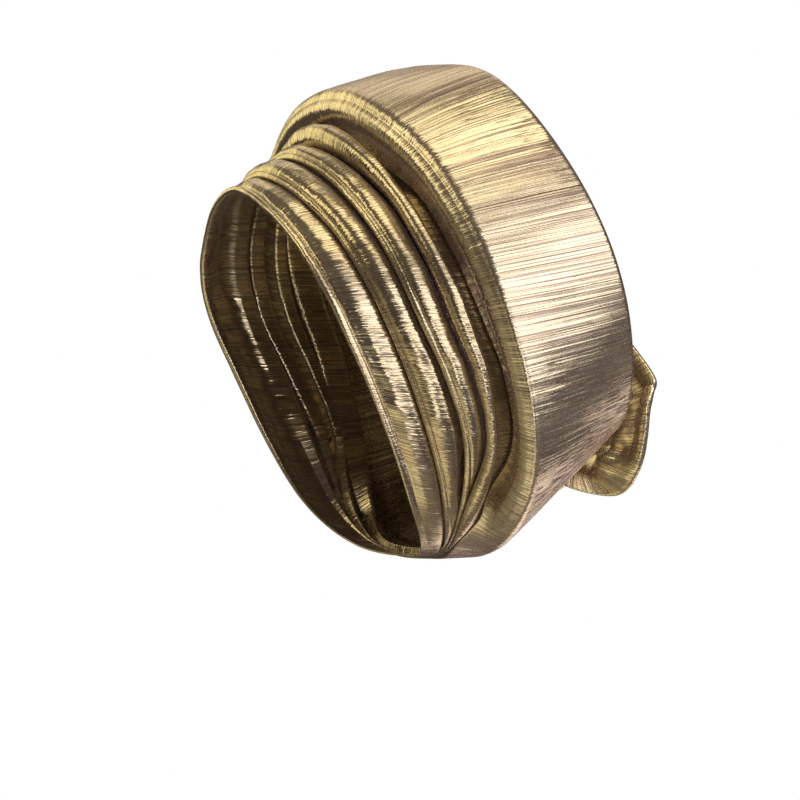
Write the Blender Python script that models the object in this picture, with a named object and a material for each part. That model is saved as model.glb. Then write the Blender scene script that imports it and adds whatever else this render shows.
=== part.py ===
"""Tied gele head tie, a stiff metallic cloth wrap modelled in its worn shape.

Sizes are in millimetres. The wearer faces -Y, +Z is up and +X is the wearer's left. The origin
is the middle of the head that holds the wrap up. Each layer is drawn as a section in a half
plane that turns about an axis along Y, from the top of the head (0 degrees) to the nape (180).
"""

import math

import bmesh
import bpy
from mathutils import Vector

MM = 0.001

# Head opening, with its radii taken from the section axis
AXIS_RISE = 15.0
OPENING_TOP = 80.0
OPENING_HALF_WIDTH = 74.0
OPENING_DROP = 109.5
OPENING_FRONT = -64.0
OPENING_DEPTH = 102.0
OPENING_ROUNDNESS = (1.75, 2.9)

# Crease where the lip turns into the drum wall
CREASE_TOP = 132.0
CREASE_HALF_WIDTH = 124.0
CREASE_DROP = 110.0
CREASE_FRONT = -11.0
CREASE_DEPTH = 79.0
CREASE_ROUNDNESS = (2.0, 2.6)

# Rear rim of the drum, a slanted ellipse
REAR_HALF_WIDTH = 119.0
REAR_HALF_HEIGHT = 96.5
REAR_BACK = 93.5
REAR_RISE = 64.5
REAR_SLANT = 39.5
REAR_FLATNESS = 0.5  # how much flatter than an ellipse its top and bottom are
REAR_CENTRE = MM * Vector((0.0, REAR_BACK, REAR_RISE))
REAR_NORMAL = Vector((0.0, REAR_HALF_HEIGHT, REAR_SLANT)).normalized()

# Cloth and how its layers lie on each other
PLEAT_WALL = 2.4
GATHER_WALL = 1.0
DRUM_WALL = 2.0
BACK_WALL = 2.0
BOW_WALL = 1.6
LAYER_GAP = 0.35
TUCK = 13.0
GATHER_TUCK = 5.0

# Folds
EDGE_ROUNDNESS = 0.8  # how far a front edge stands out, as a share of half its thickness
HEM_THICKNESS = 4.0
HEM_LENGTH = 7.0
BAND_BULGE = 2.6
PLEAT_BULGE = 2.4
ROLL_HEIGHT = 8.0
ROLL_VALLEY = 3.6
LIP_PUFF = 2.0
LIP_PUFF_AT = 0.35  # share of the way from the lip's foot to the crease
LIP_RADIUS = 6.0
WALL_BOW = 1.5
RIM_RADIUS = 3.5
RIM_CUT = 0.33  # how much of that radius the softened corner loses
RIM_TURN_IN = 8.0
BACK_INSET = 2.2  # gap between the back's edge and the rim, in shares of its clearance
BACK_DOME = 7.0
BACK_GATHER = 0.9
BACK_GATHERS = 11

# Bow at the lower back
KNOT_WIDTH = 27.0
KNOT_HEIGHT = 34.0
KNOT_DEPTH = 27.0
KNOT_SWELL = 0.9  # size at its ends as a share of its middle
KNOT_DROP = 2.0
LOOP_REACH = 75.0
LOOP_RISE = 48.0
LOOP_FORWARD = 27.0
LOOP_PUFF = 15.0
LOOP_RIPPLE = 2.0
LOOP_RIPPLES = 3
ROOT_DEPTH = 9.0
ROOT_INSET = 2.2  # how far a root stays inside the knot's height, in shares of its room
ROOT_TAPER = 0.85  # how much thinner a root is at its edges than in its middle

# Sections round the head, drawn closer together towards the gather at the nape
SEGMENTS = 44
GATHER_CROWDING = 0.22

# A row every 20 degrees, from the top to the nape. The back columns are shares of the way back
# from the opening to the crease, the out columns of the way out. The first two columns are
# shares of the opening's and the crease's own depth, rear_turn is the angle reached on the rear
# rim and lean is the slope of the tucked tails, both in degrees.
STATION_COLUMNS = (
    "opening_back", "crease_back", "second_back", "second_out", "third_back", "third_out",
    "roll_back", "roll_out", "lip_back", "lip_out", "lean", "fullness", "rear_turn",
)
STATION_ROWS = (
    (0.000, 0.00, 0.270, 0.150, 0.570, 0.280, 0.840, 0.355, 1.120, 0.420, 10, 1.00, 0),
    (0.017, 0.02, 0.290, 0.165, 0.600, 0.290, 0.870, 0.365, 1.120, 0.425, 9, 1.00, 19),
    (0.069, 0.17, 0.310, 0.175, 0.540, 0.315, 0.820, 0.375, 1.000, 0.420, 6, 1.00, 48),
    (0.127, 0.32, 0.310, 0.180, 0.515, 0.335, 0.770, 0.370, 0.945, 0.430, 3, 1.00, 73),
    (0.225, 0.49, 0.320, 0.175, 0.510, 0.345, 0.750, 0.355, 0.940, 0.410, 0, 1.00, 99),
    (0.353, 0.67, 0.320, 0.185, 0.550, 0.345, 0.770, 0.350, 0.930, 0.400, -2, 0.95, 122),
    (0.490, 0.80, 0.325, 0.195, 0.580, 0.320, 0.750, 0.320, 0.870, 0.370, -17, 0.80, 145),
    (0.657, 0.87, 0.355, 0.200, 0.505, 0.265, 0.530, 0.270, 0.690, 0.290, -43, 0.45, 158),
    (0.863, 0.95, 0.320, 0.200, 0.325, 0.200, 0.330, 0.200, 0.335, 0.200, -70, 0.00, 170),
    (1.000, 1.00, 0.220, 0.200, 0.225, 0.200, 0.230, 0.200, 0.235, 0.200, -80, 0.00, 180),
)
STATIONS = [dict(zip(STATION_COLUMNS, row)) for row in STATION_ROWS]
LAYERS = ("second", "third", "roll", "lip")

# The rim of a bow loop from its lowest ray to its highest, as shares of the reach, forward
# and rise sizes, measured from the knot
RIM_COLUMNS = ("out", "forward", "up")
RIM_ROWS = (
    (0.27, 1.00, -0.50),
    (0.76, 0.72, -0.58),
    (0.94, 0.54, -0.31),
    (1.00, 0.42, 0.02),
    (0.97, 0.28, 0.36),
    (0.84, 0.06, 0.66),
    (0.55, 0.06, 1.00),
)
LOOP_RIM = [dict(zip(RIM_COLUMNS, row)) for row in RIM_ROWS]

# Fold sections: shares of the way along the fold and of its height
PLEAT_SHAPE = ((0.0, 0.0), (0.12, 0.55), (0.32, 1.0), (0.6, 0.85), (0.85, 0.3), (1.0, 0.0))
ROLL_SHAPE = (
    (0.0, 0.0), (-0.05, 0.38), (0.03, 0.74), (0.2, 0.97), (0.45, 1.0),
    (0.7, 0.8), (0.9, 0.38), (1.0, 0.05),
)


def segment_angle(j):
    """The angle of section j, in degrees from the top."""
    turn = 2 * math.pi * (j % SEGMENTS) / SEGMENTS
    return math.degrees(turn + GATHER_CROWDING * math.sin(turn))


def smooth_value(before, start, end, after, f):
    """Cubic through start and end, a share f of the way, sloped by the values beside them."""
    slope_start = (end - before) / 2
    slope_end = (after - start) / 2
    bend = 3 * (end - start) - 2 * slope_start - slope_end
    twist = slope_start + slope_end - 2 * (end - start)
    return start + f * (slope_start + f * (bend + f * twist))


def smooth_share(column, angle):
    """Reads a column of the stations at an angle, the same on both sides."""
    values = [row[column] for row in STATIONS]
    last = len(values) - 1
    place = abs((angle + 180.0) % 360.0 - 180.0) / 180.0 * last
    i = min(int(place), last - 1)
    after = values[i + 2 if i + 2 <= last else i]
    return smooth_value(values[abs(i - 1)], values[i], values[i + 1], after, place - i)


def rim_share(column, ray):
    """Reads a column of the loop's rim, from 0 at its lowest ray to 1 at its highest."""
    values = [row[column] for row in LOOP_RIM]
    last = len(values) - 1
    i = min(int(ray * last), last - 1)
    before = values[max(i - 1, 0)]
    after = values[min(i + 2, last)]
    return smooth_value(before, values[i], values[i + 1], after, ray * last - i)


def loop_radius(angle, top, half_width, drop, roundness):
    """Radius of an egg-shaped loop whose exponent blends from the top to the bottom."""
    sine, cosine = abs(math.sin(math.radians(angle))), math.cos(math.radians(angle))
    low = (1 - cosine) / 2
    power = roundness[0] + (roundness[1] - roundness[0]) * low * low * (3 - 2 * low)
    upright = abs(cosine) / (top if cosine > 0 else drop)
    return ((sine / half_width) ** power + upright**power) ** (-1 / power)


def on_ray(point, angle):
    """Turns a section point, as way back and radius, into a place in metres."""
    back, radius = point
    turn = math.radians(angle)
    return MM * Vector((radius * math.sin(turn), back, AXIS_RISE + radius * math.cos(turn)))


def section(angle):
    """The layers' front edges and directions in the half plane at this angle."""
    share = {column: smooth_share(column, angle) for column in STATION_COLUMNS}
    opening = Vector((
        OPENING_FRONT + OPENING_DEPTH * share["opening_back"],
        loop_radius(angle, OPENING_TOP, OPENING_HALF_WIDTH, OPENING_DROP, OPENING_ROUNDNESS),
    ))
    crease = Vector((
        CREASE_FRONT + CREASE_DEPTH * share["crease_back"],
        loop_radius(angle, CREASE_TOP, CREASE_HALF_WIDTH, CREASE_DROP, CREASE_ROUNDNESS),
    ))
    lean = math.radians(share["lean"])
    along = Vector((math.cos(lean), math.sin(lean)))
    out = Vector((-along.y, along.x))
    wall = GATHER_WALL + (PLEAT_WALL - GATHER_WALL) * share["fullness"]
    step = wall + LAYER_GAP
    way = crease - opening
    fronts = [opening]
    for above, layer in enumerate(LAYERS):
        place = Vector((way.x * share[layer + "_back"], way.y * share[layer + "_out"]))
        fronts.append(opening + place + above * step * out)
    return {
        "fronts": fronts, "crease": crease, "along": along, "out": out, "wall": wall,
        "step": step, "fullness": share["fullness"], "rear_turn": share["rear_turn"],
        "tuck": GATHER_TUCK + (TUCK - GATHER_TUCK) * share["fullness"],
    }


def layer_path(cut, layer, shape, height, valley):
    """The middle line of a layer, from its front edge over its fold to its tucked tail."""
    start = cut["fronts"][layer]
    under = cut["fronts"][layer + 1] - cut["step"] * cut["out"]
    end = under - valley * cut["along"]
    way = end - start
    up = Vector((-way.y, way.x)).normalized() if way.length > LAYER_GAP else cut["out"]
    path = [start + along * way + rise * height * up for along, rise in shape]
    path += [under, under + cut["tuck"] * cut["along"]]
    return path


def thick_outline(path, halves):
    """The closed outline of a strip along a path, rounded at its front edge."""
    outer, inner = [], []
    for i, point in enumerate(path):
        ahead = path[min(i + 1, len(path) - 1)] - path[max(i - 1, 0)]
        side = Vector((-ahead.y, ahead.x)).normalized() * halves[i]
        outer.append(point + side)
        inner.append(point - side)
    nose = (path[0] - path[1]).normalized() * halves[0]
    front = path[0] + nose * EDGE_ROUNDNESS
    return [front] + outer + inner[::-1]


def cloth_material(name, colour, roughness):
    """A plain metallic cloth for one sub-part."""
    material = bpy.data.materials.new(name)
    material.use_nodes = True
    shader = material.node_tree.nodes["Principled BSDF"]
    shader.inputs["Base Color"].default_value = (*colour, 1.0)
    shader.inputs["Metallic"].default_value = 0.75
    shader.inputs["Roughness"].default_value = roughness
    return material


def mapped_grid(name, across, along, place, material):
    """An object made from a grid whose corners are moved to place(i, j), with seams joined."""
    mesh_bm = bmesh.new()
    bmesh.ops.create_grid(mesh_bm, x_segments=across, y_segments=along, size=1.0)
    for vert in mesh_bm.verts:
        i = round((vert.co.x + 1) / 2 * across)
        j = round((vert.co.y + 1) / 2 * along)
        vert.co = place(i, j)
    bmesh.ops.remove_doubles(mesh_bm, verts=mesh_bm.verts, dist=1e-6)
    bmesh.ops.recalc_face_normals(mesh_bm, faces=mesh_bm.faces)
    mesh = bpy.data.meshes.new(name)
    mesh_bm.to_mesh(mesh)
    mesh_bm.free()
    mesh.shade_smooth()
    mesh.set_sharp_from_angle(angle=math.radians(50))
    mesh.materials.append(material)
    node = bpy.data.objects.new(name, mesh)
    bpy.context.scene.collection.objects.link(node)
    return node


def add_wall(node, thickness):
    """Gives a single surface its cloth thickness, half on each side."""
    wall = node.modifiers.new("Wall", "SOLIDIFY")
    wall.thickness = thickness * MM
    wall.offset = 0.0
    wall.use_even_offset = True


def swept_layer(name, outline_at, material):
    """A closed section swept right round the head."""
    angles = [segment_angle(j) for j in range(SEGMENTS)]
    rings = [[on_ray(point, angle) for point in outline_at(angle)] for angle in angles]
    count = len(rings[0])
    return mapped_grid(
        name, count, SEGMENTS, lambda i, j: rings[j % SEGMENTS][i % count], material
    )


def band_outline(angle):
    """The forehead band: a thick rolled hem, then a gently rounded band."""
    cut = section(angle)
    path = layer_path(cut, 0, PLEAT_SHAPE, BAND_BULGE * cut["fullness"], 0.0)
    halves = []
    for point in path:
        hem = max(0.0, 1 - (point - path[0]).length / HEM_LENGTH) * cut["fullness"]
        halves.append((cut["wall"] + (HEM_THICKNESS - PLEAT_WALL) * hem) / 2)
    return thick_outline(path, halves)


def pleat_outline(layer):
    """Outline function of a narrow pleat."""
    def outline(angle):
        cut = section(angle)
        path = layer_path(cut, layer, PLEAT_SHAPE, PLEAT_BULGE * cut["fullness"], 0.0)
        return thick_outline(path, [cut["wall"] / 2] * len(path))
    return outline


def roll_outline(angle):
    """The fat rolled pleat in front of the crown."""
    cut = section(angle)
    full = cut["fullness"]
    path = layer_path(cut, 3, ROLL_SHAPE, ROLL_HEIGHT * full, ROLL_VALLEY * full)
    return thick_outline(path, [cut["wall"] / 2] * len(path))


def rear_point(turn):
    """A point of the drum's rear rim."""
    sine, cosine = math.sin(math.radians(turn)), math.cos(math.radians(turn))
    height = cosine * (1 + REAR_FLATNESS * sine**2 * cosine**4)
    return MM * Vector((
        REAR_HALF_WIDTH * sine, REAR_BACK - REAR_SLANT * height, REAR_RISE + REAR_HALF_HEIGHT * height
    ))


def corner(before, turn, after, radius, steps):
    """Points round a softened corner."""
    start = turn + (before - turn).normalized() * radius
    end = turn + (after - turn).normalized() * radius
    points = []
    for i in range(steps + 1):
        f = i / steps
        points.append((1 - f) ** 2 * start + 2 * f * (1 - f) * turn + f * f * end)
    return points


def drum_line(angle):
    """The drum's middle line: lip face, crease, wall, rear rim and turned-in edge."""
    cut = section(angle)
    foot = on_ray(cut["fronts"][4], angle)
    crease = on_ray(cut["crease"], angle)
    side = 1.0 if angle <= 180.0 else -1.0
    rear = rear_point(side * cut["rear_turn"])
    inward = rear + (REAR_CENTRE - rear).normalized() * RIM_TURN_IN * MM
    face = crease - foot
    forward = Vector((0.0, -1.0, 0.0)) * LIP_PUFF * MM * cut["fullness"]
    points = [foot, foot + face * LIP_PUFF_AT + forward]
    points += corner(points[-1], crease, rear, LIP_RADIUS * MM, 3)
    front = points[-1]
    rim = corner(crease, rear, inward, RIM_RADIUS * MM, 2)
    outward = (front + rim[0]) / 2 - REAR_CENTRE
    outward = outward.normalized() * WALL_BOW * MM
    for f in (0.33, 0.67):
        points.append(front.lerp(rim[0], f) + outward * 4 * f * (1 - f))
    return points + rim + [inward]


def build_drum(material):
    """The crown's drum with its rounded front lip."""
    lines = [drum_line(segment_angle(j)) for j in range(SEGMENTS)]
    count = len(lines[0]) - 1
    node = mapped_grid(
        "crown_drum", count, SEGMENTS, lambda i, j: lines[j % SEGMENTS][i], material
    )
    add_wall(node, DRUM_WALL)
    return node


def knot_centre():
    """The knot lies just behind the rounded bottom of the drum's rear rim."""
    rim = rear_point(180.0)
    back = DRUM_WALL / 2 + LAYER_GAP + KNOT_DEPTH / 2 - RIM_CUT * RIM_RADIUS
    return rim + MM * Vector((0.0, back, -KNOT_DROP))


def build_back(material):
    """The closed back of the crown, domed and softly gathered towards the knot."""
    shares = (0.0, 0.3, 0.58, 0.82, 0.95, 1.0)
    clear = ((DRUM_WALL + BACK_WALL) / 2 + LAYER_GAP) * MM
    knot = knot_centre()

    def place(i, j):
        rim = rear_point(360.0 * (j % SEGMENTS) / SEGMENTS)
        outward = (rim - REAR_CENTRE).normalized()
        if i == len(shares):
            return rim - outward * BACK_INSET * clear - REAR_NORMAL * clear
        seen = rim - outward * (RIM_TURN_IN + BACK_WALL) * MM
        flat = REAR_CENTRE.lerp(seen, shares[i])
        around = math.atan2(flat.x - knot.x, flat.z - knot.z)
        lift = 1 - shares[i] ** 2
        gather = BACK_GATHER * lift * math.cos(2 * BACK_GATHERS * around)
        return flat + REAR_NORMAL * ((BACK_DOME * math.sqrt(lift) + gather) * MM - clear)

    node = mapped_grid("crown_back", len(shares), SEGMENTS, place, material)
    add_wall(node, BACK_WALL)
    return node


def build_loop(name, side, material):
    """One loop of the bow: a fan of cloth that runs out from the knot, folds and comes back."""
    steps, rows = 17, 12
    knot = knot_centre()
    mouth = KNOT_WIDTH / 2
    room = BOW_WALL + 2 * LAYER_GAP
    root_half = KNOT_SWELL * (KNOT_HEIGHT - BOW_WALL) / 2 - ROOT_INSET * room
    root_puff = KNOT_SWELL * (KNOT_DEPTH - BOW_WALL) / 2 - room

    def place(i, j):
        turn = math.pi * max(0, min(i - 1, steps - 2)) / (steps - 2)
        ray = j / rows
        b = 2 * ray - 1
        root = Vector((mouth, 0.0, root_half * b))
        rim = Vector((
            LOOP_REACH * rim_share("out", ray),
            -LOOP_FORWARD * rim_share("forward", ray),
            LOOP_RISE * rim_share("up", ray),
        ))
        point = root.lerp(rim, math.sin(turn))
        if i in (0, steps):
            point.x = mouth - ROOT_DEPTH
        puff = root_puff * math.sqrt(1 - ROOT_TAPER * b * b)
        puff += (LOOP_PUFF / 2 - puff) * math.sin(turn)
        ripple = LOOP_RIPPLE * math.sin(turn) * math.sin(LOOP_RIPPLES * math.pi * b)
        point.y += ripple - puff * math.cos(turn)
        return knot + MM * Vector((side * point.x, point.y, point.z))

    node = mapped_grid(name, steps, rows, place, material)
    add_wall(node, BOW_WALL)
    return node


def build_knot(material):
    """The band of cloth wrapped round the middle of the bow."""
    around, across = 20, 4
    knot = knot_centre()

    def place(i, j):
        turn = 2 * math.pi * (j % around) / around
        wide = 2 * i / across - 1
        swell = 1 - (1 - KNOT_SWELL) * wide * wide
        return knot + MM * Vector((
            wide * KNOT_WIDTH / 2,
            swell * (KNOT_DEPTH - BOW_WALL) / 2 * math.cos(turn),
            swell * (KNOT_HEIGHT - BOW_WALL) / 2 * math.sin(turn),
        ))

    node = mapped_grid("bow_knot", across, around, place, material)
    add_wall(node, BOW_WALL)
    return node


for old in list(bpy.data.objects):
    bpy.data.objects.remove(old)

band_cloth = cloth_material("band_cloth", (0.42, 0.33, 0.17), 0.34)
pleat_cloth = cloth_material("pleat_cloth", (0.50, 0.41, 0.19), 0.34)
crown_cloth = cloth_material("crown_cloth", (0.46, 0.36, 0.21), 0.38)
bow_cloth = cloth_material("bow_cloth", (0.50, 0.43, 0.20), 0.38)

swept_layer("forehead_band", band_outline, band_cloth)
swept_layer("pleat_second", pleat_outline(1), pleat_cloth)
swept_layer("pleat_third", pleat_outline(2), pleat_cloth)
swept_layer("pleat_roll", roll_outline, pleat_cloth)
build_drum(crown_cloth)
build_back(crown_cloth)
build_loop("bow_loop_left", 1, bow_cloth)
build_loop("bow_loop_right", -1, bow_cloth)
build_knot(bow_cloth)
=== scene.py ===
"""Tied gele head tie in its worn form, dressed in stiff two-tone metallic cloth.

Every layer is drawn again at full detail from the same sections as the solids: a section lies in
a half plane that turns about an axis along Y, from the top of the head (0 degrees) to the nape
(180), with the wearer's left at 90. Sizes are in millimetres until they reach a mesh. The weave
map of each piece is in metres of real cloth: its U runs across the threads, which is round the
head on the rings, and its V runs along them.
"""

import math

import bmesh
import bpy
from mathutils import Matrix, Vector, noise


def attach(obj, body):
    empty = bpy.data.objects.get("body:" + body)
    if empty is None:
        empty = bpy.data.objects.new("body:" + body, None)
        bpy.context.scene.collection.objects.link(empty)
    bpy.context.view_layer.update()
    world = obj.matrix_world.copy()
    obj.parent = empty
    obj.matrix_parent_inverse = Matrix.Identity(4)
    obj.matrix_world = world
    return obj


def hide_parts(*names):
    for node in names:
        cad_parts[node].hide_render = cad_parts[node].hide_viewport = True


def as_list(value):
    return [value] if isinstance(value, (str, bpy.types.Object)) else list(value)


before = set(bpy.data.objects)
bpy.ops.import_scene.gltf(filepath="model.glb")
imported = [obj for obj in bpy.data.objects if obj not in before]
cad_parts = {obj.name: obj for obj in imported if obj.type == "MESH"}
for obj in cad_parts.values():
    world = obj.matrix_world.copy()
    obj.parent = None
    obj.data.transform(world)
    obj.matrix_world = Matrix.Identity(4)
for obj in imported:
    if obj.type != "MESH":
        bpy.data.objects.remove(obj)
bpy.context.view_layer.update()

MM = 0.001

# Head opening and crease of the crown, with their radii taken from the section axis
AXIS_RISE = 15.0
OPENING_TOP = 80.0
OPENING_HALF_WIDTH = 74.0
OPENING_DROP = 109.5
OPENING_FRONT = -64.0
OPENING_DEPTH = 102.0
OPENING_ROUNDNESS = (1.75, 2.9)
CREASE_TOP = 132.0
CREASE_HALF_WIDTH = 124.0
CREASE_DROP = 110.0
CREASE_FRONT = -11.0
CREASE_DEPTH = 79.0
CREASE_ROUNDNESS = (2.0, 2.6)

# Rear rim of the drum
REAR_HALF_WIDTH = 119.0
REAR_HALF_HEIGHT = 96.5
REAR_BACK = 93.5
REAR_RISE = 64.5
REAR_SLANT = 39.5
REAR_FLATNESS = 0.5
REAR_CENTRE = MM * Vector((0.0, REAR_BACK, REAR_RISE))
REAR_NORMAL = Vector((0.0, REAR_HALF_HEIGHT, REAR_SLANT)).normalized()

# Cloth and how its layers lie on each other
PLEAT_WALL = 2.4
GATHER_WALL = 1.0
DRUM_WALL = 2.0
BACK_WALL = 2.0
BOW_WALL = 1.6
LAYER_GAP = 0.35
TUCK = 11.0
GATHER_TUCK = 5.0
TUCK_SHARE = 0.45  # the most of the next layer's width that a tail may lie under

# Folds
HEM_THICKNESS = 3.7
HEM_LENGTH = 3.4
HEM_GROOVE = 0.7
HEM_GROOVE_WIDTH = 0.9
EDGE_ROLL = 0.6  # how much a pleat's folded edge stands out over its wall
EDGE_ROLL_LENGTH = 2.4
EDGE_GROOVE = 0.55
EDGE_GROOVE_WIDTH = 0.6
BAND_DIP = 0.9  # how deep a layer sinks before it goes under the next one
PLEAT_DIP = 3.4
ROLL_DIP = 10.0
DIP_ROOM = (8.0, 7.0)  # width of a layer where its dip starts to show, and the width it grows over
FULL_WIDTH = 13.0  # width from which a layer's fold is fully rounded
BAND_BULGE = 1.4
PLEAT_BULGE = 2.5
ROLL_HEIGHT = 9.8
ROLL_VALLEY = 3.6
LIP_BACK = 7.5  # how far behind the rolled pleat the lip starts
LIP_PUFF = (4.4, 0.8)  # all round, and what the top adds
FAR_FORWARD = 10.0  # how much further forward the crown stands on the wearer's right
FAR_ANGLE = -52.0  # the angle where it stands furthest forward
FAR_SPREAD = 24.0
LIP_RADIUS = (4.5, 6.0)  # all round, and what the top adds
LIP_CREASE_AT = 0.3  # share of the rounded corner that the crisp crease cuts off
WALL_BOW = 1.5
RIM_RADIUS = 3.5
RIM_CUT = 0.33  # what the rounding takes off the rim's corner, as a share of its radius
RIM_TURN_IN = 8.0
BACK_INSET = 2.2
BACK_DOME = 7.0
BACK_GATHER = 1.3
BACK_GATHERS = 11  # in half a turn round the knot

# Bow
KNOT_WIDTH = 27.0
KNOT_HEIGHT = 34.0
KNOT_DEPTH = 27.0
KNOT_SWELL = 0.9
KNOT_DROP = 2.0
LOOP_REACH = 75.0
LOOP_RISE = 48.0
LOOP_FORWARD = 27.0
RIGHT_LIFT = 6.0  # how much higher the end of the right loop lies
LOOP_PUFF = 13.0
LOOP_RIPPLE = 0.5
LOOP_RIPPLES = 3
LOOP_GATHER = 1.3
LOOP_GATHERS = 5
LOOP_FOLD = 3.6  # valley that turns the loop's outer edge into a rolled strip
LOOP_FOLD_AT = 0.8
LOOP_FOLD_WIDTH = 0.09
LOOP_FOLD_RAYS = (0.30, 0.25)  # ray where the strip starts, and the rays that it grows over
LOOP_BELLY = 8.0
LOOP_BELLY_AT = (0.58, 0.32)  # share of the way out, and ray from the lowest (0) to the highest (1)
LOOP_BELLY_SIZE = (0.24, 0.14)
LOOP_DENT = 4.0
LOOP_DENT_AT = (0.66, 0.43)
LOOP_DENT_SIZE = (0.08, 0.05)
ROOT_DEPTH = 9.0  # how far a loop's ends run into the knot
ROOT_INSET = 2.2  # room above and below the ends in the knot, in walls with their gaps
ROOT_PUFF_INSET = 1.15  # the same before and behind them
ROOT_TAPER = 0.85

# Unevenness of hand-folded cloth: its pace round the head, and its size
FRONT_DRIFT = (3.0, 0.5)
BULGE_DRIFT = (4.0, 0.5)
ROLL_DRIFT = (3.0, 0.8)
LIP_DRIFT = (3.0, 0.5)
WALL_RIPPLE = (5.0, 1.0)
WALL_RIPPLE_CHANGE = 0.25  # how much the ripple changes from the crease to the rear rim
BULGE_SEED = 11
ROLL_SEED = 15
LIP_SEED = 21
WALL_SEED = 23
DRIFT_SEED_STEP = 7.3
BAND_DENT = 0.9
PLEAT_DENT = 0.8
ROLL_DENT = 0.7
DENT_PACE = 9.0
DENT_CHANGE = 1.7  # how much the dents change across a layer
DENT_SEED_STEP = 5.1
GATHER_DRIFT = 2.0
BACK_GATHER_PACE = 3.0
LOOP_GATHER_PACE = 4.0
LOOP_GATHER_SEED = 3.0

# Detail of the full meshes
SEGMENTS = 720
GATHER_CROWDING = 0.22
PLEAT_STEPS = 8
ROLL_STEPS = 6
TAIL_STEPS = 5
NOSE_STEPS = 8
LIP_STEPS = 4
BEND_STEPS = 12
WALL_STEPS = 24
RIM_STEPS = 6
RIM_HEM_STEPS = 3
BACK_STEPS = 60
BACK_HEM_STEPS = 4
BACK_AROUND = 480
LOOP_STEPS = 142
LOOP_ROWS = 110
KNOT_AROUND = 160
KNOT_ACROSS = 40
WELD_DISTANCE = 1e-8

# Stations from the top of the head to the nape, the same on both sides
STATION_COLUMNS = (
    "opening_back", "crease_back", "second_back", "second_out", "third_back", "third_out",
    "roll_back", "roll_out", "lip_back", "lip_out", "lean", "fullness", "rear_turn",
)
STATION_ROWS = (
    (0.000, 0.00, 0.270, 0.150, 0.570, 0.280, 0.840, 0.355, 1.120, 0.420, 10, 1.00, 0),
    (0.017, 0.02, 0.290, 0.165, 0.600, 0.290, 0.870, 0.365, 1.120, 0.425, 9, 1.00, 19),
    (0.069, 0.17, 0.310, 0.175, 0.540, 0.315, 0.820, 0.375, 1.000, 0.420, 6, 1.00, 48),
    (0.127, 0.32, 0.310, 0.180, 0.515, 0.335, 0.770, 0.370, 0.945, 0.430, 3, 1.00, 73),
    (0.225, 0.49, 0.320, 0.175, 0.510, 0.345, 0.750, 0.355, 0.940, 0.410, 0, 1.00, 99),
    (0.353, 0.67, 0.320, 0.185, 0.550, 0.345, 0.770, 0.350, 0.930, 0.400, -2, 0.95, 122),
    (0.490, 0.80, 0.325, 0.195, 0.580, 0.320, 0.750, 0.320, 0.870, 0.370, -17, 0.80, 145),
    (0.657, 0.87, 0.355, 0.200, 0.505, 0.265, 0.530, 0.270, 0.690, 0.290, -43, 0.45, 158),
    (0.863, 0.95, 0.320, 0.200, 0.325, 0.200, 0.330, 0.200, 0.335, 0.200, -70, 0.00, 170),
    (1.000, 1.00, 0.220, 0.200, 0.225, 0.200, 0.230, 0.200, 0.235, 0.200, -80, 0.00, 180),
)
STATIONS = [dict(zip(STATION_COLUMNS, row)) for row in STATION_ROWS]
LAYERS = ("second", "third", "roll", "lip")

# Outer edge of a bow loop, ray by ray from the lowest, in shares of its reach, forward and rise
RIM_COLUMNS = ("out", "forward", "up")
RIM_ROWS = (
    (0.24, 0.97, -0.32),
    (0.26, 1.00, -0.50),
    (0.44, 0.25, -0.60),
    (0.66, 0.09, -0.36),
    (0.76, 0.07, 0.00),
    (0.82, 0.10, 0.36),
    (0.83, -0.02, 0.56),
    (0.82, 0.00, 0.69),
    (0.66, 0.22, 1.02),
)
LOOP_RIM = [dict(zip(RIM_COLUMNS, row)) for row in RIM_ROWS]

# Fold of each layer: the share of the way along it, and its rise as a share of its height
BAND_SHAPE = ((0.0, 0.0), (0.14, -0.3), (0.3, 0.2), (0.52, 1.1), (0.8, 0.95), (1.0, 0.0))
PLEAT_SHAPE = ((0.0, 0.0), (0.1, 0.85), (0.26, 1.5), (0.5, 1.5), (0.75, 0.9), (1.0, 0.0))
ROLL_SHAPE = (
    (0.0, 0.0), (-0.05, 0.38), (0.03, 0.74), (0.2, 0.97), (0.45, 1.0),
    (0.7, 0.8), (0.9, 0.38), (1.0, 0.05),
)

# The crown's lip: the share of the way from its foot to the crease, and its puff forward
LIP_SHAPE = ((0.0, 0.0), (0.25, 0.08), (0.42, 0.46), (0.56, 0.86), (0.7, 1.0), (0.86, 0.8))


# Sections

def segment_angle(j):
    """The angle of section j in degrees, from the nape over the top and back to the nape."""
    turn = 2 * math.pi * j / SEGMENTS - math.pi
    return math.degrees(turn + GATHER_CROWDING * math.sin(turn))


def smooth_value(before, start, end, after, f):
    """Cubic through start and end, a share f of the way, sloped by the values beside them."""
    slope_start = (end - before) / 2
    slope_end = (after - start) / 2
    bend = 3 * (end - start) - 2 * slope_start - slope_end
    twist = slope_start + slope_end - 2 * (end - start)
    return start + f * (slope_start + f * (bend + f * twist))


def smooth_share(column, angle):
    """Reads a column of the stations at an angle, the same on both sides."""
    values = [row[column] for row in STATIONS]
    last = len(values) - 1
    place = abs((angle + 180.0) % 360.0 - 180.0) / 180.0 * last
    i = min(int(place), last - 1)
    after = values[i + 2 if i + 2 <= last else i]
    return smooth_value(values[abs(i - 1)], values[i], values[i + 1], after, place - i)


def rim_share(column, ray):
    """Reads a column of the loop's rim, from 0 at its lowest ray to 1 at its highest."""
    values = [row[column] for row in LOOP_RIM]
    last = len(values) - 1
    i = min(int(ray * last), last - 1)
    before = values[max(i - 1, 0)]
    after = values[min(i + 2, last)]
    return smooth_value(before, values[i], values[i + 1], after, ray * last - i)


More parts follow.
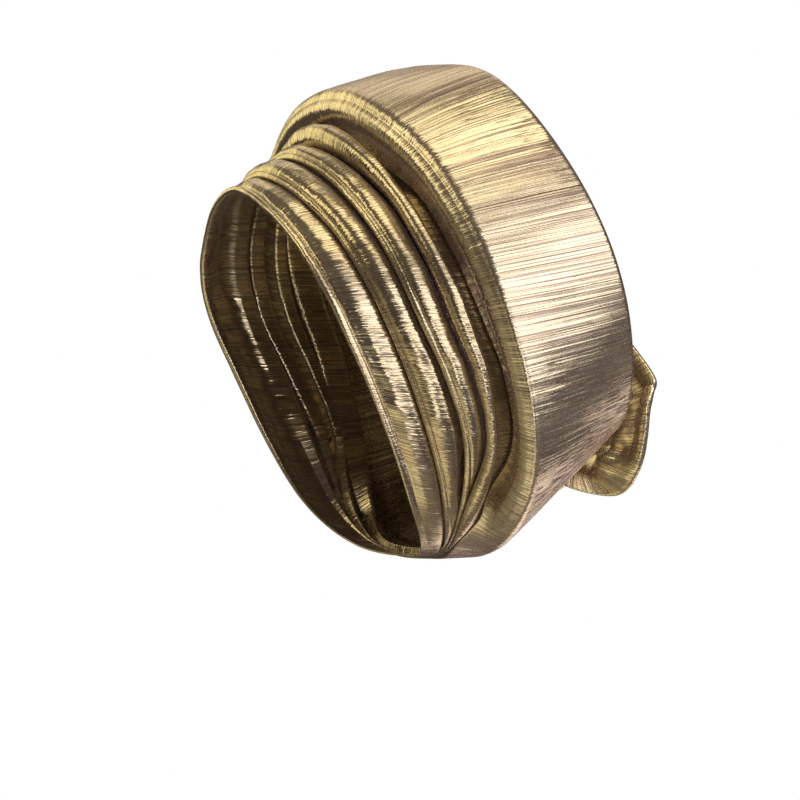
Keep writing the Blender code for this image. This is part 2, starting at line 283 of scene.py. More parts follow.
def smooth_line(points, steps):
    """A smooth line through points, with this many steps between each two."""
    line = []
    for i in range(len(points) - 1):
        before = points[max(i - 1, 0)]
        after = points[min(i + 2, len(points) - 1)]
        for k in range(steps):
            line.append(smooth_value(before, points[i], points[i + 1], after, k / steps))
    return line + [points[-1]]


def loop_radius(angle, top, half_width, drop, roundness):
    """Radius of an egg-shaped loop whose exponent blends from the top to the bottom."""
    sine, cosine = abs(math.sin(math.radians(angle))), math.cos(math.radians(angle))
    low = (1 - cosine) / 2
    power = roundness[0] + (roundness[1] - roundness[0]) * low * low * (3 - 2 * low)
    upright = abs(cosine) / (top if cosine > 0 else drop)
    return ((sine / half_width) ** power + upright**power) ** (-1 / power)


def on_ray(point, angle):
    """Turns a section point, as way back and radius, into a place in metres."""
    back, radius = point
    turn = math.radians(angle)
    return MM * Vector((radius * math.sin(turn), back, AXIS_RISE + radius * math.cos(turn)))


def wander(angle, seed, pace, size):
    """A slow irregular drift round the head, the same in each run."""
    turn = math.radians(angle)
    spot = Vector((pace * math.cos(turn), pace * math.sin(turn), DRIFT_SEED_STEP * seed))
    return size * noise.noise(spot)


def section(angle):
    """The layers' front edges and directions in the half plane at this angle."""
    share = {column: smooth_share(column, angle) for column in STATION_COLUMNS}
    opening = Vector((
        OPENING_FRONT + OPENING_DEPTH * share["opening_back"],
        loop_radius(angle, OPENING_TOP, OPENING_HALF_WIDTH, OPENING_DROP, OPENING_ROUNDNESS),
    ))
    crease = Vector((
        CREASE_FRONT + CREASE_DEPTH * share["crease_back"],
        loop_radius(angle, CREASE_TOP, CREASE_HALF_WIDTH, CREASE_DROP, CREASE_ROUNDNESS),
    ))
    lean = math.radians(share["lean"])
    along = Vector((math.cos(lean), math.sin(lean)))
    out = Vector((-along.y, along.x))
    wall = GATHER_WALL + (PLEAT_WALL - GATHER_WALL) * share["fullness"]
    step = wall + LAYER_GAP
    way = crease - opening
    fronts = [opening]
    for above, layer in enumerate(LAYERS):
        drift = wander(angle, above, *FRONT_DRIFT) * share["fullness"]
        place = Vector((way.x * share[layer + "_back"], way.y * share[layer + "_out"]))
        fronts.append(opening + place + above * step * out + drift * along)
    return {
        "fronts": fronts, "crease": crease, "along": along, "out": out, "wall": wall,
        "step": step, "fullness": share["fullness"], "rear_turn": share["rear_turn"],
        "tuck": GATHER_TUCK + (TUCK - GATHER_TUCK) * share["fullness"],
    }


SECTIONS = [section(segment_angle(j)) for j in range(SEGMENTS)]


def eased(f):
    """Eases 0 to 1 in and out, and holds still outside."""
    f = min(1.0, max(0.0, f))
    return f * f * (3 - 2 * f)


def bell(f):
    """A soft bump, 1 at 0 and nearly 0 beyond 2."""
    return math.exp(-f * f)


def sunk(cut, layer, dip):
    """How deep a layer has sunk where it goes under the next one, towards the head."""
    way = cut["fronts"][layer + 1] - cut["fronts"][layer]
    return dip * eased((way.length - DIP_ROOM[0]) / DIP_ROOM[1]) * cut["out"]


def layer_line(cut, layer, shape, steps, height, valley, dip):
    """The middle line of a layer, from its front edge over its fold to its tucked tail."""
    start = cut["fronts"][layer]
    under = cut["fronts"][layer + 1] - cut["step"] * cut["out"]
    way = under - valley * cut["along"] - start
    up = Vector((-way.y, way.x)).normalized() if way.length > LAYER_GAP else cut["out"]
    down = sunk(cut, layer, dip)
    height *= min(1.0, way.length / FULL_WIDTH)
    fold = []
    for along, rise in shape:
        last_third = eased(3 * along - 2)
        fold.append(start + along * way + rise * height * up - down * last_third)
    if valley:
        fold.append(under - down)
    line = smooth_line(fold, steps)
    tuck = cut["tuck"]
    if layer + 2 < len(cut["fronts"]):
        beyond = cut["fronts"][layer + 2] - cut["fronts"][layer + 1]
        tuck = min(tuck, TUCK_SHARE * beyond.length)
    tail = tuck * cut["along"]
    return line + [line[-1] + tail * k / TAIL_STEPS for k in range(1, TAIL_STEPS + 1)]


def thick_outline(line, wall, swells):
    """The closed outline of a strip: its inner face keeps half the wall, its outer face swells."""
    outer, inner = [], []
    for i, point in enumerate(line):
        ahead = line[min(i + 1, len(line) - 1)] - line[max(i - 1, 0)]
        side = Vector((-ahead.y, ahead.x)).normalized()
        outer.append(point + side * (wall / 2 + swells[i]))
        inner.append(point - side * wall / 2)
    middle = (outer[0] + inner[0]) / 2
    up = outer[0] - middle
    ahead = (line[0] - line[1]).normalized() * up.length
    nose = []
    for k in range(1, NOSE_STEPS):
        turn = math.pi * k / NOSE_STEPS
        nose.append(middle - up * math.cos(turn) + ahead * math.sin(turn))
    return nose + outer + inner[::-1]


# Meshes

def cloth_piece(name, across, along, place, spread, material):
    """Cloth made from a grid whose corners move to place(i, j), woven as spread(i, j) says."""
    cloth = bmesh.new()
    bmesh.ops.create_grid(cloth, x_segments=across, y_segments=along, size=1.0)
    weave = cloth.loops.layers.uv.new("Weave")
    spots = {}
    for vert in cloth.verts:
        i = round((vert.co.x + 1) / 2 * across)
        j = round((vert.co.y + 1) / 2 * along)
        spots[vert] = (i, j)
    for face in cloth.faces:
        face.smooth = True
        for loop in face.loops:
            loop[weave].uv = spread(*spots[loop.vert])
    for vert, spot in spots.items():
        vert.co = place(*spot)
    bmesh.ops.remove_doubles(cloth, verts=cloth.verts, dist=WELD_DISTANCE)
    bmesh.ops.recalc_face_normals(cloth, faces=cloth.faces)
    mesh = bpy.data.meshes.new(name)
    cloth.to_mesh(mesh)
    cloth.free()
    mesh.materials.append(material)
    piece = bpy.data.objects.new(name, mesh)
    bpy.context.scene.collection.objects.link(piece)
    return piece


def add_wall(piece, thickness, even=True):
    """Gives a single surface its cloth thickness, half on each side."""
    wall = piece.modifiers.new("Wall", "SOLIDIFY")
    wall.thickness = thickness * MM
    wall.offset = 0.0
    wall.use_even_offset = even


def lengths_along(points):
    """How far along a line each of its points lies."""
    far = [0.0]
    for before, after in zip(points, points[1:]):
        far.append(far[-1] + (after - before).length)
    return far


def swept_piece(name, outline_at, material):
    """A closed section swept right round the head, woven across its folds."""
    rings = []
    for j in range(SEGMENTS):
        angle = segment_angle(j)
        rings.append([on_ray(point, angle) for point in outline_at(SECTIONS[j], angle)])
    count = len(rings[0])
    across = [lengths_along(ring + ring[:1]) for ring in rings]
    front = [ring[NOSE_STEPS] for ring in rings]
    around = lengths_along(front + front[:1])
    return cloth_piece(
        name, count, SEGMENTS,
        lambda i, j: rings[j % SEGMENTS][i % count],
        lambda i, j: (around[j], across[j % SEGMENTS][i]),
        material,
    )


def creased(line, angle, layer, size):
    """Presses soft dents and ripples into a layer's middle line, none at its edge and tail."""
    turn = math.radians(angle)
    ring = Vector((math.cos(turn), math.sin(turn))) * DENT_PACE
    seed = DENT_SEED_STEP * (1 + layer)
    pressed = []
    for i, point in enumerate(line):
        f = i / (len(line) - TAIL_STEPS - 1)
        weight = max(0.0, math.sin(math.pi * min(f, 1.0)))
        ahead = line[min(i + 1, len(line) - 1)] - line[max(i - 1, 0)]
        side = Vector((-ahead.y, ahead.x)).normalized()
        dent = noise.noise(Vector((ring.x, ring.y, DENT_CHANGE * f + seed)))
        pressed.append(point + side * dent * size * weight)
    return pressed


def edge_swells(line, roll, length, groove, groove_width):
    """How far a rolled front edge stands out over the wall, with the groove behind it."""
    swells = []
    for point in line:
        gone = (point - line[0]).length
        edge = roll * math.sqrt(max(0.0, 1 - (gone / length) ** 2))
        swells.append(edge - groove * bell((gone - length) / groove_width))
    return swells


def band_outline(cut, angle):
    """The forehead band: a thick rolled hem, then a gently rounded band."""
    full = cut["fullness"]
    bulge = (BAND_BULGE + wander(angle, BULGE_SEED, *BULGE_DRIFT)) * full
    line = layer_line(cut, 0, BAND_SHAPE, PLEAT_STEPS, bulge, 0.0, BAND_DIP)
    line = creased(line, angle, 0, BAND_DENT * full)
    roll = HEM_THICKNESS - PLEAT_WALL
    swells = edge_swells(line, roll, HEM_LENGTH, HEM_GROOVE, HEM_GROOVE_WIDTH)
    return thick_outline(line, cut["wall"], [swell * full for swell in swells])


def pleat_outline(layer):
    """Outline function of a narrow pleat with a small folded edge."""
    def outline(cut, angle):
        full = cut["fullness"]
        bulge = (PLEAT_BULGE + wander(angle, BULGE_SEED + layer, *BULGE_DRIFT)) * full
        line = layer_line(cut, layer, PLEAT_SHAPE, PLEAT_STEPS, bulge, 0.0, PLEAT_DIP)
        line = creased(line, angle, layer, PLEAT_DENT * full)
        swells = edge_swells(line, EDGE_ROLL, EDGE_ROLL_LENGTH, EDGE_GROOVE, EDGE_GROOVE_WIDTH)
        return thick_outline(line, cut["wall"], [swell * full for swell in swells])
    return outline


def roll_outline(cut, angle):
    """The fat rolled pleat in front of the crown."""
    full = cut["fullness"]
    height = (ROLL_HEIGHT + wander(angle, ROLL_SEED, *ROLL_DRIFT)) * full
    line = layer_line(cut, 3, ROLL_SHAPE, ROLL_STEPS, height, ROLL_VALLEY * full, ROLL_DIP)
    line = creased(line, angle, 3, ROLL_DENT * full)
    return thick_outline(line, cut["wall"], [0.0] * len(line))


def rear_point(turn):
    """A point of the drum's rear rim."""
    sine, cosine = math.sin(math.radians(turn)), math.cos(math.radians(turn))
    height = cosine * (1 + REAR_FLATNESS * sine**2 * cosine**4)
    return MM * Vector((
        REAR_HALF_WIDTH * sine,
        REAR_BACK - REAR_SLANT * height,
        REAR_RISE + REAR_HALF_HEIGHT * height,
    ))


def corner(before, turn, after, radius, steps):
    """Points round a softened corner."""
    start = turn + (before - turn).normalized() * radius
    end = turn + (after - turn).normalized() * radius
    points = []
    for i in range(steps + 1):
        f = i / steps
        points.append((1 - f) ** 2 * start + 2 * f * (1 - f) * turn + f * f * end)
    return points


def drum_line(cut, angle):
    """The drum's middle line: rounded lip, crisp crease, wall, rear rim and turned-in edge."""
    back = LIP_BACK * cut["fullness"] * cut["along"]
    foot = on_ray(cut["fronts"][4] + back - sunk(cut, 3, ROLL_DIP), angle)
    crease = on_ray(cut["crease"], angle)
    crease.y -= FAR_FORWARD * bell((angle - FAR_ANGLE) / FAR_SPREAD) * MM
    side = 1.0 if angle >= 0.0 else -1.0
    rear = rear_point(side * cut["rear_turn"])
    inward = rear + (REAR_CENTRE - rear).normalized() * RIM_TURN_IN * MM
    top = max(0.0, math.cos(math.radians(angle))) ** 2
    radius = LIP_RADIUS[0] + LIP_RADIUS[1] * top
    bend = corner(foot, crease, rear, radius * MM, BEND_STEPS)
    bend = bend[round(LIP_CREASE_AT * BEND_STEPS):]
    puff = LIP_PUFF[0] * cut["fullness"] + LIP_PUFF[1] * top
    puff += wander(angle, LIP_SEED, *LIP_DRIFT)
    forward = Vector((0.0, -puff * MM, 0.0))
    face = [foot.lerp(bend[0], up) + forward * out for up, out in LIP_SHAPE]
    lip = smooth_line(face + bend[:1], LIP_STEPS)
    front = bend[-1]
    rim = corner(crease, rear, inward, RIM_RADIUS * MM, RIM_STEPS)
    outward = (front + rim[0]) / 2 - REAR_CENTRE
    outward = outward.normalized() * MM
    wall = []
    for k in range(1, WALL_STEPS):
        f = k / WALL_STEPS
        bow = WALL_BOW * 4 * f * (1 - f)
        ripple = wander(angle, WALL_SEED + WALL_RIPPLE_CHANGE * f, *WALL_RIPPLE)
        ripple *= math.sin(math.pi * f)
        wall.append(front.lerp(rim[0], f) + outward * (bow + ripple))
    hem = [rim[-1].lerp(inward, (k + 1) / RIM_HEM_STEPS) for k in range(RIM_HEM_STEPS)]
    return lip[:-1] + bend + wall + rim + hem


def build_drum(material):
    """The crown's drum with its rounded front lip."""
    lines = [drum_line(SECTIONS[j], segment_angle(j)) for j in range(SEGMENTS)]
    count = len(lines[0]) - 1
    across = [lengths_along(line) for line in lines]
    crease = [line[len(LIP_SHAPE) * LIP_STEPS] for line in lines]
    around = lengths_along(crease + crease[:1])
    piece = cloth_piece(
        "drum_cloth", count, SEGMENTS,
        lambda i, j: lines[j % SEGMENTS][i],
        lambda i, j: (around[j], across[j % SEGMENTS][i]),
        material,
    )
    add_wall(piece, DRUM_WALL)
    return piece


def knot_centre():
    """The knot lies just behind the rounded bottom of the drum's rear rim."""
    rim = rear_point(180.0)
    back = DRUM_WALL / 2 + LAYER_GAP + KNOT_DEPTH / 2 - RIM_CUT * RIM_RADIUS
    return rim + MM * Vector((0.0, back, -KNOT_DROP))


def build_back(material):
    """The closed back of the crown, domed and softly gathered towards the knot."""
    dome_steps = BACK_STEPS - BACK_HEM_STEPS
    clear = ((DRUM_WALL + BACK_WALL) / 2 + LAYER_GAP) * MM
    knot = knot_centre()

    def place(i, j):
        rim = rear_point(360.0 * (j % BACK_AROUND) / BACK_AROUND)
        outward = (rim - REAR_CENTRE).normalized()
        edge = rim - outward * BACK_INSET * clear - REAR_NORMAL * clear
        if i == BACK_STEPS:
            return edge
        share = min(1.0, i / dome_steps)
        seen = rim - outward * (RIM_TURN_IN + BACK_WALL) * MM
        flat = REAR_CENTRE.lerp(seen, share)
        turn = math.atan2(flat.x - knot.x, flat.z - knot.z)
        lift = 1 - share**2
        drift = GATHER_DRIFT * noise.noise(Vector((BACK_GATHER_PACE * turn, 0.0, 0.0)))
        gather = math.cos(2 * BACK_GATHERS * turn + drift)
        rise = BACK_DOME * math.sqrt(lift) + BACK_GATHER * lift * gather
        domed = flat + REAR_NORMAL * (rise * MM - clear)
        past = max(0, i - dome_steps) / BACK_HEM_STEPS
        return domed.lerp(edge, past)

    def spread(i, j):
        rim = rear_point(360.0 * j / BACK_AROUND)
        flat = REAR_CENTRE.lerp(rim, i / BACK_STEPS)
        return (flat.x, flat.z)

    piece = cloth_piece("back_cloth", BACK_STEPS, BACK_AROUND, place, spread, material)
    add_wall(piece, BACK_WALL)
    return piece


def build_loop(name, side, material):
    """One loop of the bow: a fan of cloth that runs out from the knot, folds and comes back."""
    knot = knot_centre()
    mouth = KNOT_WIDTH / 2
    room = BOW_WALL + 2 * LAYER_GAP
    root_half = KNOT_SWELL * (KNOT_HEIGHT - BOW_WALL) / 2 - ROOT_INSET * room
    root_puff = KNOT_SWELL * (KNOT_DEPTH - BOW_WALL) / 2 - ROOT_PUFF_INSET * room

    def pressed(out, ray, front):
        """How far the loop's cloth is pushed back by its folds, gathers and dent."""
        drift = noise.noise(Vector((LOOP_GATHER_PACE * ray, 0.0, LOOP_GATHER_SEED)))
        gather = math.sin(2 * math.pi * LOOP_GATHERS * ray + GATHER_DRIFT * drift)
        depth = LOOP_GATHER * gather * 4 * out * (1 - out)
        depth += LOOP_RIPPLE * out * math.sin(LOOP_RIPPLES * math.pi * (2 * ray - 1))
        fold = LOOP_FOLD * bell((out - LOOP_FOLD_AT) / LOOP_FOLD_WIDTH)
        fold *= eased((ray - LOOP_FOLD_RAYS[0]) / LOOP_FOLD_RAYS[1])
        belly = LOOP_BELLY * bell((out - LOOP_BELLY_AT[0]) / LOOP_BELLY_SIZE[0])
        belly *= bell((ray - LOOP_BELLY_AT[1]) / LOOP_BELLY_SIZE[1])
        dent = LOOP_DENT * bell((out - LOOP_DENT_AT[0]) / LOOP_DENT_SIZE[0])
        dent *= bell((ray - LOOP_DENT_AT[1]) / LOOP_DENT_SIZE[1])
        return depth + (fold - belly + dent) * eased(3 * front)

    def place(i, j):
        turn = math.pi * max(0, min(i - 1, LOOP_STEPS - 2)) / (LOOP_STEPS - 2)
        ray = j / LOOP_ROWS
        level = 2 * ray - 1
        root = Vector((mouth + BOW_WALL, 0.0, root_half * level))
        rim = Vector((
            LOOP_REACH * rim_share("out", ray),
            -LOOP_FORWARD * rim_share("forward", ray),
            LOOP_RISE * rim_share("up", ray),
        ))
        if side < 0:
            rim.z += RIGHT_LIFT * rim.x / LOOP_REACH
        point = root.lerp(rim, math.sin(turn))
        if i in (0, LOOP_STEPS):
            point.x = mouth - ROOT_DEPTH
        puff = root_puff * math.sqrt(1 - ROOT_TAPER * level * level)
        puff += (LOOP_PUFF / 2 - puff) * math.sin(turn)
        point.y += pressed(math.sin(turn), ray, math.cos(turn)) - puff * math.cos(turn)
        return knot + MM * Vector((side * point.x, point.y, point.z))

    points = [[place(i, j) for i in range(LOOP_STEPS + 1)] for j in range(LOOP_ROWS + 1)]
    far = [lengths_along(line) for line in points]
    rim = lengths_along([line[LOOP_STEPS // 2] for line in points])
    piece = cloth_piece(
        name, LOOP_STEPS, LOOP_ROWS,
        lambda i, j: points[j][i],
        lambda i, j: (rim[j], far[j][i]),
        material,
    )
    add_wall(piece, BOW_WALL, even=False)
    return piece


def build_knot(material):
    """The band of cloth wrapped round the middle of the bow."""
    knot = knot_centre()

    def place(i, j):
        turn = 2 * math.pi * (j % KNOT_AROUND) / KNOT_AROUND
        wide = 2 * i / KNOT_ACROSS - 1
        swell = 1 - (1 - KNOT_SWELL) * wide * wide
        return knot + MM * Vector((
            wide * KNOT_WIDTH / 2,
            swell * (KNOT_DEPTH - BOW_WALL) / 2 * math.cos(turn),
            swell * (KNOT_HEIGHT - BOW_WALL) / 2 * math.sin(turn),
        ))

    girth = math.pi * (KNOT_DEPTH + KNOT_HEIGHT) / 2 * MM
    piece = cloth_piece(
        "knot_cloth", KNOT_ACROSS, KNOT_AROUND, place,
        lambda i, j: (girth * j / KNOT_AROUND, KNOT_WIDTH * MM * i / KNOT_ACROSS),
        material,
    )
    add_wall(piece, BOW_WALL)
    return piece


# Materials

THREAD_LEAN = 0.27  # how far threads lean sideways
THREAD_BEND = 0.2  # how unevenly threads follow a fold
THREAD_STRETCH = 0.7  # how far highlights are drawn out by the threads
WARP_METAL = 0.6  # how metallic the cloth is where only its warp shows
SPECKLE_SPAN = (0.2, 0.8)  # speckle values between which the cloth goes from smooth to rough
SHEEN = 0.35
SHEEN_ROUGHNESS = 0.4
SHEEN_TINT = (0.62, 0.42, 0.46)
WHITE = (1.0, 1.0, 1.0)

# Grain of the cloth across and along its threads, in millimetres
GRAIN_COLUMNS = ("across", "along", "detail", "roughness")
GRAIN_ROWS = {
    "fine": (0.5, 180.0, 1.0, 0.5),
    "lines": (0.9, 260.0, 2.0, 0.6),
    "speckle": (0.45, 1.6, 2.0, 0.6),
    "patches": (9.0, 45.0, 3.0, 0.55),
    "lean": (0.65, 110.0, 2.0, 0.7),
    "bend": (0.8, 14.0, 2.0, 0.6),
}

# How much of the metal thread each grain leaves: all of it above high_at
METAL_COLUMNS = ("low_at", "low", "high_at")
METAL_ROWS = {
    "fine": (0.40, 0.30, 0.50),
    "lines": (0.35, 0.08, 0.42),
    "speckle": (0.25, 0.65, 0.60),
}
PATCH_TINTS = ((0.25, (0.82, 0.76, 0.76)), (0.75, WHITE))

# All four are one cloth. The band's and pleats' darker gold is painted shade that deepens their
# valleys, and the bow's lighter gold is painted light that makes up for the drum's shadow over it.
CLOTH_COLUMNS = ("name", "gold", "warp", "smooth", "rough")
CLOTH_ROWS = (
    ("band_metallic_cloth", (0.66, 0.56, 0.39), (0.08, 0.055, 0.05), 0.17, 0.26),
    ("pleat_metallic_cloth", (0.62, 0.52, 0.35), (0.08, 0.055, 0.05), 0.17, 0.26),
    ("crown_metallic_cloth", (0.76, 0.66, 0.48), (0.17, 0.105, 0.10), 0.22, 0.31),
    ("bow_metallic_cloth", (0.84, 0.72, 0.46), (0.14, 0.10, 0.09), 0.22, 0.30),
)

# Places of the factor, the two colours and the result among a colour mix's sockets
MIX_FACTOR = 0
MIX_FIRST = 6
MIX_SECOND = 7
MIX_RESULT = 2

NODE_TOP = 600
NODE_STEP = 300


def feed(tree, socket, value):
    """Sets a socket to a value, or links it to another node's output."""
    if isinstance(value, bpy.types.NodeSocket):
        tree.links.new(value, socket)
    else:
        socket.default_value = value


def linked(tree, kind, place, **inputs):
    """A node with its named inputs fed."""
    node = tree.nodes.new(kind)
    node.location = place
    for name, value in inputs.items():
        feed(tree, node.inputs[name.replace("_", " ")], value)
    return node


def stretched_noise(tree, weave, place, across, along, detail, roughness):
    """Noise drawn out along the threads: across and along are its grain in millimetres."""
    mapping = linked(tree, "ShaderNodeMapping", (place[0] - 200, place[1]), Vector=weave)
    mapping.inputs["Scale"].default_value = (1 / (across * MM), 1 / (along * MM), 1.0)
    grain = linked(
        tree, "ShaderNodeTexNoise", place,
        Vector=mapping.outputs["Vector"], Scale=1.0, Detail=detail, Roughness=roughness,
    )
    return grain.outputs["Fac"]


def ramp(tree, factor, place, stops):
    """A colour ramp with these stops, each a position and a colour."""
    node = linked(tree, "ShaderNodeValToRGB", place, Fac=factor)
    elements = node.color_ramp.elements
    while len(elements) < len(stops):
        elements.new(0.5)
    for element, (position, colour) in zip(elements, stops):
        element.position = position
        element.color = (*colour, 1.0)
    return node.outputs["Color"]


def rescaled(tree, value, place, source, target):
    """A value moved from one span to another."""
    node = linked(
        tree, "ShaderNodeMapRange", place, Value=value,
        From_Min=source[0], From_Max=source[1], To_Min=target[0], To_Max=target[1],
    )
    return node.outputs["Result"]


def multiplied(tree, place, first, second):
    """Two shares multiplied."""
    node = linked(tree, "ShaderNodeMath", place)
    node.operation = "MULTIPLY"
    feed(tree, node.inputs[0], first)
    feed(tree, node.inputs[1], second)
    return node.outputs[0]


def mixed(tree, place, factor, first, second, blend="MIX"):
    """Two colours mixed, the second by this factor."""
    node = linked(tree, "ShaderNodeMix", place)
    node.data_type = "RGBA"
    node.blend_type = blend
    feed(tree, node.inputs[MIX_FACTOR], factor)
    feed(tree, node.inputs[MIX_FIRST], first)
    feed(tree, node.inputs[MIX_SECOND], second)
    return node.outputs[MIX_RESULT]


def metallic_cloth(name, gold, warp, smooth, rough):
    """Stiff cloth of gold metal threads laid over a mauve-brown warp."""
    material = bpy.data.materials.new(name)
    material.use_nodes = True
    tree = material.node_tree
    weave = linked(tree, "ShaderNodeUVMap", (-1700, 0))
    weave.uv_map = "Weave"

    grains = {}
    for i, (kind, row) in enumerate(GRAIN_ROWS.items()):
        place = (-1200, NODE_TOP - NODE_STEP * i)
        sizes = dict(zip(GRAIN_COLUMNS, row))
        grains[kind] = stretched_noise(tree, weave.outputs["UV"], place, **sizes)
    metals = {}
    for i, (kind, row) in enumerate(METAL_ROWS.items()):
        share = dict(zip(METAL_COLUMNS, row))
        stops = ((share["low_at"], 3 * (share["low"],)), (share["high_at"], WHITE))
        metals[kind] = ramp(tree, grains[kind], (-900, NODE_TOP - NODE_STEP * i), stops)
    threads = multiplied(tree, (-750, 450), metals["lines"], metals["fine"])
    metal = multiplied(tree, (-600, 300), threads, metals["speckle"])
    cloth = mixed(tree, (-350, 300), metal, (*warp, 1.0), (*gold, 1.0))
    tint = ramp(tree, grains["patches"], (-600, -300), PATCH_TINTS)

    sideways = (0.5 - THREAD_LEAN, 0.5 + THREAD_LEAN)
    endways = (0.5 - THREAD_BEND, 0.5 + THREAD_BEND)
    turned = linked(
        tree, "ShaderNodeCombineXYZ", (-600, -700), Z=1.0,
        X=rescaled(tree, grains["lean"], (-900, -600), (0.0, 1.0), sideways),
        Y=rescaled(tree, grains["bend"], (-900, -900), (0.0, 1.0), endways),
    )
    normal = linked(tree, "ShaderNodeNormalMap", (-350, -600), Color=turned.outputs["Vector"])
    normal.uv_map = "Weave"
    across = linked(tree, "ShaderNodeTangent", (-350, -400))
    across.direction_type = "UV_MAP"
    across.uv_map = "Weave"

    finish = {
        "Base Color": mixed(tree, (-100, 200), 1.0, cloth, tint, "MULTIPLY"),
        "Metallic": rescaled(tree, metal, (-350, 0), (0.0, 1.0), (WARP_METAL, 1.0)),
        "Roughness": rescaled(tree, grains["speckle"], (-350, -150), SPECKLE_SPAN, (smooth, rough)),
        "Normal": normal.outputs["Normal"],
        "Tangent": across.outputs["Tangent"],
        "Anisotropic": THREAD_STRETCH,
        "Sheen Weight": SHEEN,
        "Sheen Roughness": SHEEN_ROUGHNESS,
        "Sheen Tint": (*SHEEN_TINT, 1.0),
    }
    shader = tree.nodes["Principled BSDF"]
    for socket, value in finish.items():
        feed(tree, shader.inputs[socket], value)
    return material


band_cloth, pleat_cloth, crown_cloth, bow_cloth = [
    metallic_cloth(**dict(zip(CLOTH_COLUMNS, row))) for row in CLOTH_ROWS
]


# Pieces

built = {
    "forehead_band": swept_piece("band_cloth", band_outline, band_cloth),
    "pleat_second": swept_piece("second_pleat_cloth", pleat_outline(1), pleat_cloth),
    "pleat_third": swept_piece("third_pleat_cloth", pleat_outline(2), pleat_cloth),
    "pleat_roll": swept_piece("roll_cloth", roll_outline, pleat_cloth),
    "crown_drum": build_drum(crown_cloth),
    "crown_back": build_back(crown_cloth),
    "bow_loop_left": build_loop("left_loop_cloth", 1, bow_cloth),
    "bow_loop_right": build_loop("right_loop_cloth", -1, bow_cloth),
    "bow_knot": build_knot(bow_cloth),
}

# Size that each piece was cut to, in metres
CUT_COLUMNS = ("node", "slot", "width", "length", "held", "rests_on")
CUT_ROWS = (
    ("forehead_band", "band_cloth", 0.035, 0.56, "folded", ()),
    ("pleat_second", "pleat_cloth", 0.030, 0.58, "folded", ("forehead_band",)),
    ("pleat_third", "pleat_cloth", 0.029, 0.60, "folded", ("pleat_second",)),
    ("pleat_roll", "pleat_cloth", 0.034, 0.65, "folded", ("pleat_third",)),
    ("crown_drum", "crown_cloth", 0.105, 0.76, "folded", ("pleat_roll",)),
    ("crown_back", "crown_cloth", 0.190, 0.21, "stretched", ("crown_drum",)),
    ("bow_loop_left", "bow_cloth", 0.120, 0.075, "folded", ("bow_knot",)),
    ("bow_loop_right", "bow_cloth", 0.120, 0.075, "folded", ("bow_knot",)),
    ("bow_knot", "bow_cloth", 0.027, 0.096, "folded", ("crown_drum",)),
)
for row in CUT_ROWS:
    cut = dict(zip(CUT_COLUMNS, row))
    piece = built[cut["node"]]
    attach(piece, "root")
    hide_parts(cut["node"])
    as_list(cut["rests_on"])


# Floor, lights and camera, in metres

FLOOR_HEIGHT = -1.5  # the head tie is at the height of a standing wearer's head
FLOOR_RADIUS = 2.5
FLOOR_SIDES = 96
FLOOR_COLOUR = (0.8, 0.8, 0.8)
FLOOR_ROUGHNESS = 0.8

LIGHTS_AIM = Vector((0.0, 0.03, 0.03))
LIGHT_COLUMNS = ("name", "azimuth", "elevation", "distance", "width", "height", "power", "colour")
LIGHT_ROWS = (
    ("side_softbox", 114, 11, 1.6, 2.0, 1.25, 22.5, (1.0, 0.99, 0.96)),
    ("low_side_softbox", 78, -20, 1.7, 0.6, 0.8, 5.0, (1.0, 0.98, 0.92)),
    ("high_side_softbox", 105, 60, 1.7, 1.0, 0.9, 4.0, (1.0, 0.94, 0.74)),
    ("front_softbox", -6, 28, 1.7, 1.2, 0.8, 7.4, (1.0, 0.93, 0.56)),
    ("far_front_softbox", -66, 18, 1.7, 1.3, 1.2, 9.5, (1.0, 0.92, 0.48)),
    ("low_front_softbox", -10, -32, 1.8, 2.0, 1.2, 2.6, (1.0, 0.92, 0.50)),
    ("floor_bounce", 40, -60, 1.7, 1.4, 1.2, 5.2, (1.0, 0.93, 0.58)),
    ("low_back_softbox", -150, -38, 1.7, 1.0, 1.0, 6.0, (1.0, 0.86, 0.74)),
    ("back_softbox", -110, 44, 1.7, 1.2, 0.9, 4.0, (1.0, 0.90, 0.66)),
    ("top_softbox", 80, 80, 1.8, 1.2, 1.0, 7.5, (1.0, 0.95, 0.62)),
)

# Faint light of the studio itself, from straight below (0) to straight above (1)
STUDIO_FILL = (
    (0.10, (0.24, 0.20, 0.16)), (0.24, (0.032, 0.024, 0.026)),
    (0.62, (0.042, 0.032, 0.034)), (0.95, (0.20, 0.17, 0.13)),
)

VIEW_AZIMUTH = 63.0
VIEW_DISTANCE = 8.0
VIEW_REACH = 40.0
VIEW_RIGHT = 0.0276  # how far the middle of the frame lies to the right of the head's middle
VIEW_RISE = -0.0135
FRAME_WIDTH = 0.416
SENSOR_WIDTH = 36.0


def pale_floor():
    """A round pale floor below the head tie."""
    disc = bmesh.new()
    bmesh.ops.create_circle(disc, cap_ends=True, segments=FLOOR_SIDES, radius=FLOOR_RADIUS)
    for vert in disc.verts:
        vert.co.z = FLOOR_HEIGHT
    mesh = bpy.data.meshes.new("pale_floor")
    disc.to_mesh(mesh)
    disc.free()
    paint = bpy.data.materials.new("pale_floor_paint")
    paint.use_nodes = True
    shader = paint.node_tree.nodes["Principled BSDF"]
    shader.inputs["Base Color"].default_value = (*FLOOR_COLOUR, 1.0)
    shader.inputs["Roughness"].default_value = FLOOR_ROUGHNESS
    mesh.materials.append(paint)
    floor = bpy.data.objects.new("pale_floor", mesh)
    bpy.context.scene.collection.objects.link(floor)
    floor.visible_glossy = False


def direction(azimuth, elevation):
    """The unit vector towards that side: azimuth 0 is -Y, the wearer's front, and 90 is +X."""
    turn, tilt = math.radians(azimuth), math.radians(elevation)
    return Vector((
        math.sin(turn) * math.cos(tilt), -math.cos(turn) * math.cos(tilt), math.sin(tilt),
    ))


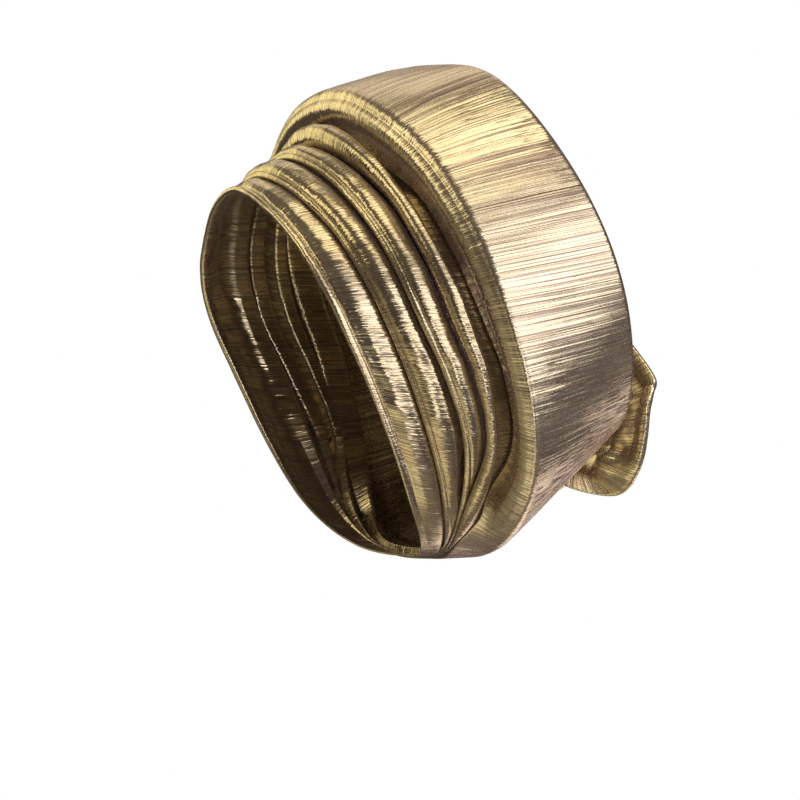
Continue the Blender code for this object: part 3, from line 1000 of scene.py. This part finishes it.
def stand(thing, aim, towards, distance):
    """Stands a light or the camera off from its aim, facing it."""
    thing.location = aim + towards * distance
    thing.rotation_mode = "QUATERNION"
    thing.rotation_quaternion = towards.to_track_quat("Z", "Y")
    bpy.context.scene.collection.objects.link(thing)


def soft_light(name, azimuth, elevation, distance, width, height, power, colour):
    """A soft rectangular light that faces the head tie."""
    lamp = bpy.data.lights.new(name, "AREA")
    lamp.shape = "RECTANGLE"
    lamp.size = width
    lamp.size_y = height
    lamp.energy = power
    lamp.color = colour
    light = bpy.data.objects.new(name, lamp)
    light.visible_camera = False
    stand(light, LIGHTS_AIM, direction(azimuth, elevation), distance)


def faint_studio():
    """A dim studio all round, which the camera sees as plain white."""
    world = bpy.data.worlds.new("studio")
    bpy.context.scene.world = world
    world.use_nodes = True
    studio = world.node_tree
    around = linked(studio, "ShaderNodeTexCoord", (-1200, 0))
    upright = linked(studio, "ShaderNodeSeparateXYZ", (-1000, 0), Vector=around.outputs["Generated"])
    rise = rescaled(studio, upright.outputs["Z"], (-800, 0), (-1.0, 1.0), (0.0, 1.0))
    fill = ramp(studio, rise, (-600, -100), STUDIO_FILL)
    seen = linked(studio, "ShaderNodeLightPath", (-600, 200))
    sky = mixed(studio, (-300, 0), seen.outputs["Is Camera Ray"], fill, (*WHITE, 1.0))
    feed(studio, studio.nodes["Background"].inputs["Color"], sky)


def long_lens():
    """The camera: level, far off, on the wearer's left and a little in front."""
    lens = bpy.data.cameras.new("camera")
    lens.sensor_width = SENSOR_WIDTH
    lens.lens = SENSOR_WIDTH * VIEW_DISTANCE / FRAME_WIDTH
    lens.clip_end = VIEW_REACH
    camera = bpy.data.objects.new("camera", lens)
    towards = direction(VIEW_AZIMUTH, 0.0)
    right = Vector((-towards.y, towards.x, 0.0))
    stand(camera, right * VIEW_RIGHT + Vector((0.0, 0.0, VIEW_RISE)), towards, VIEW_DISTANCE)
    bpy.context.scene.camera = camera


pale_floor()
for row in LIGHT_ROWS:
    soft_light(**dict(zip(LIGHT_COLUMNS, row)))
faint_studio()
long_lens()
bpy.context.scene.view_settings.view_transform = "Standard"
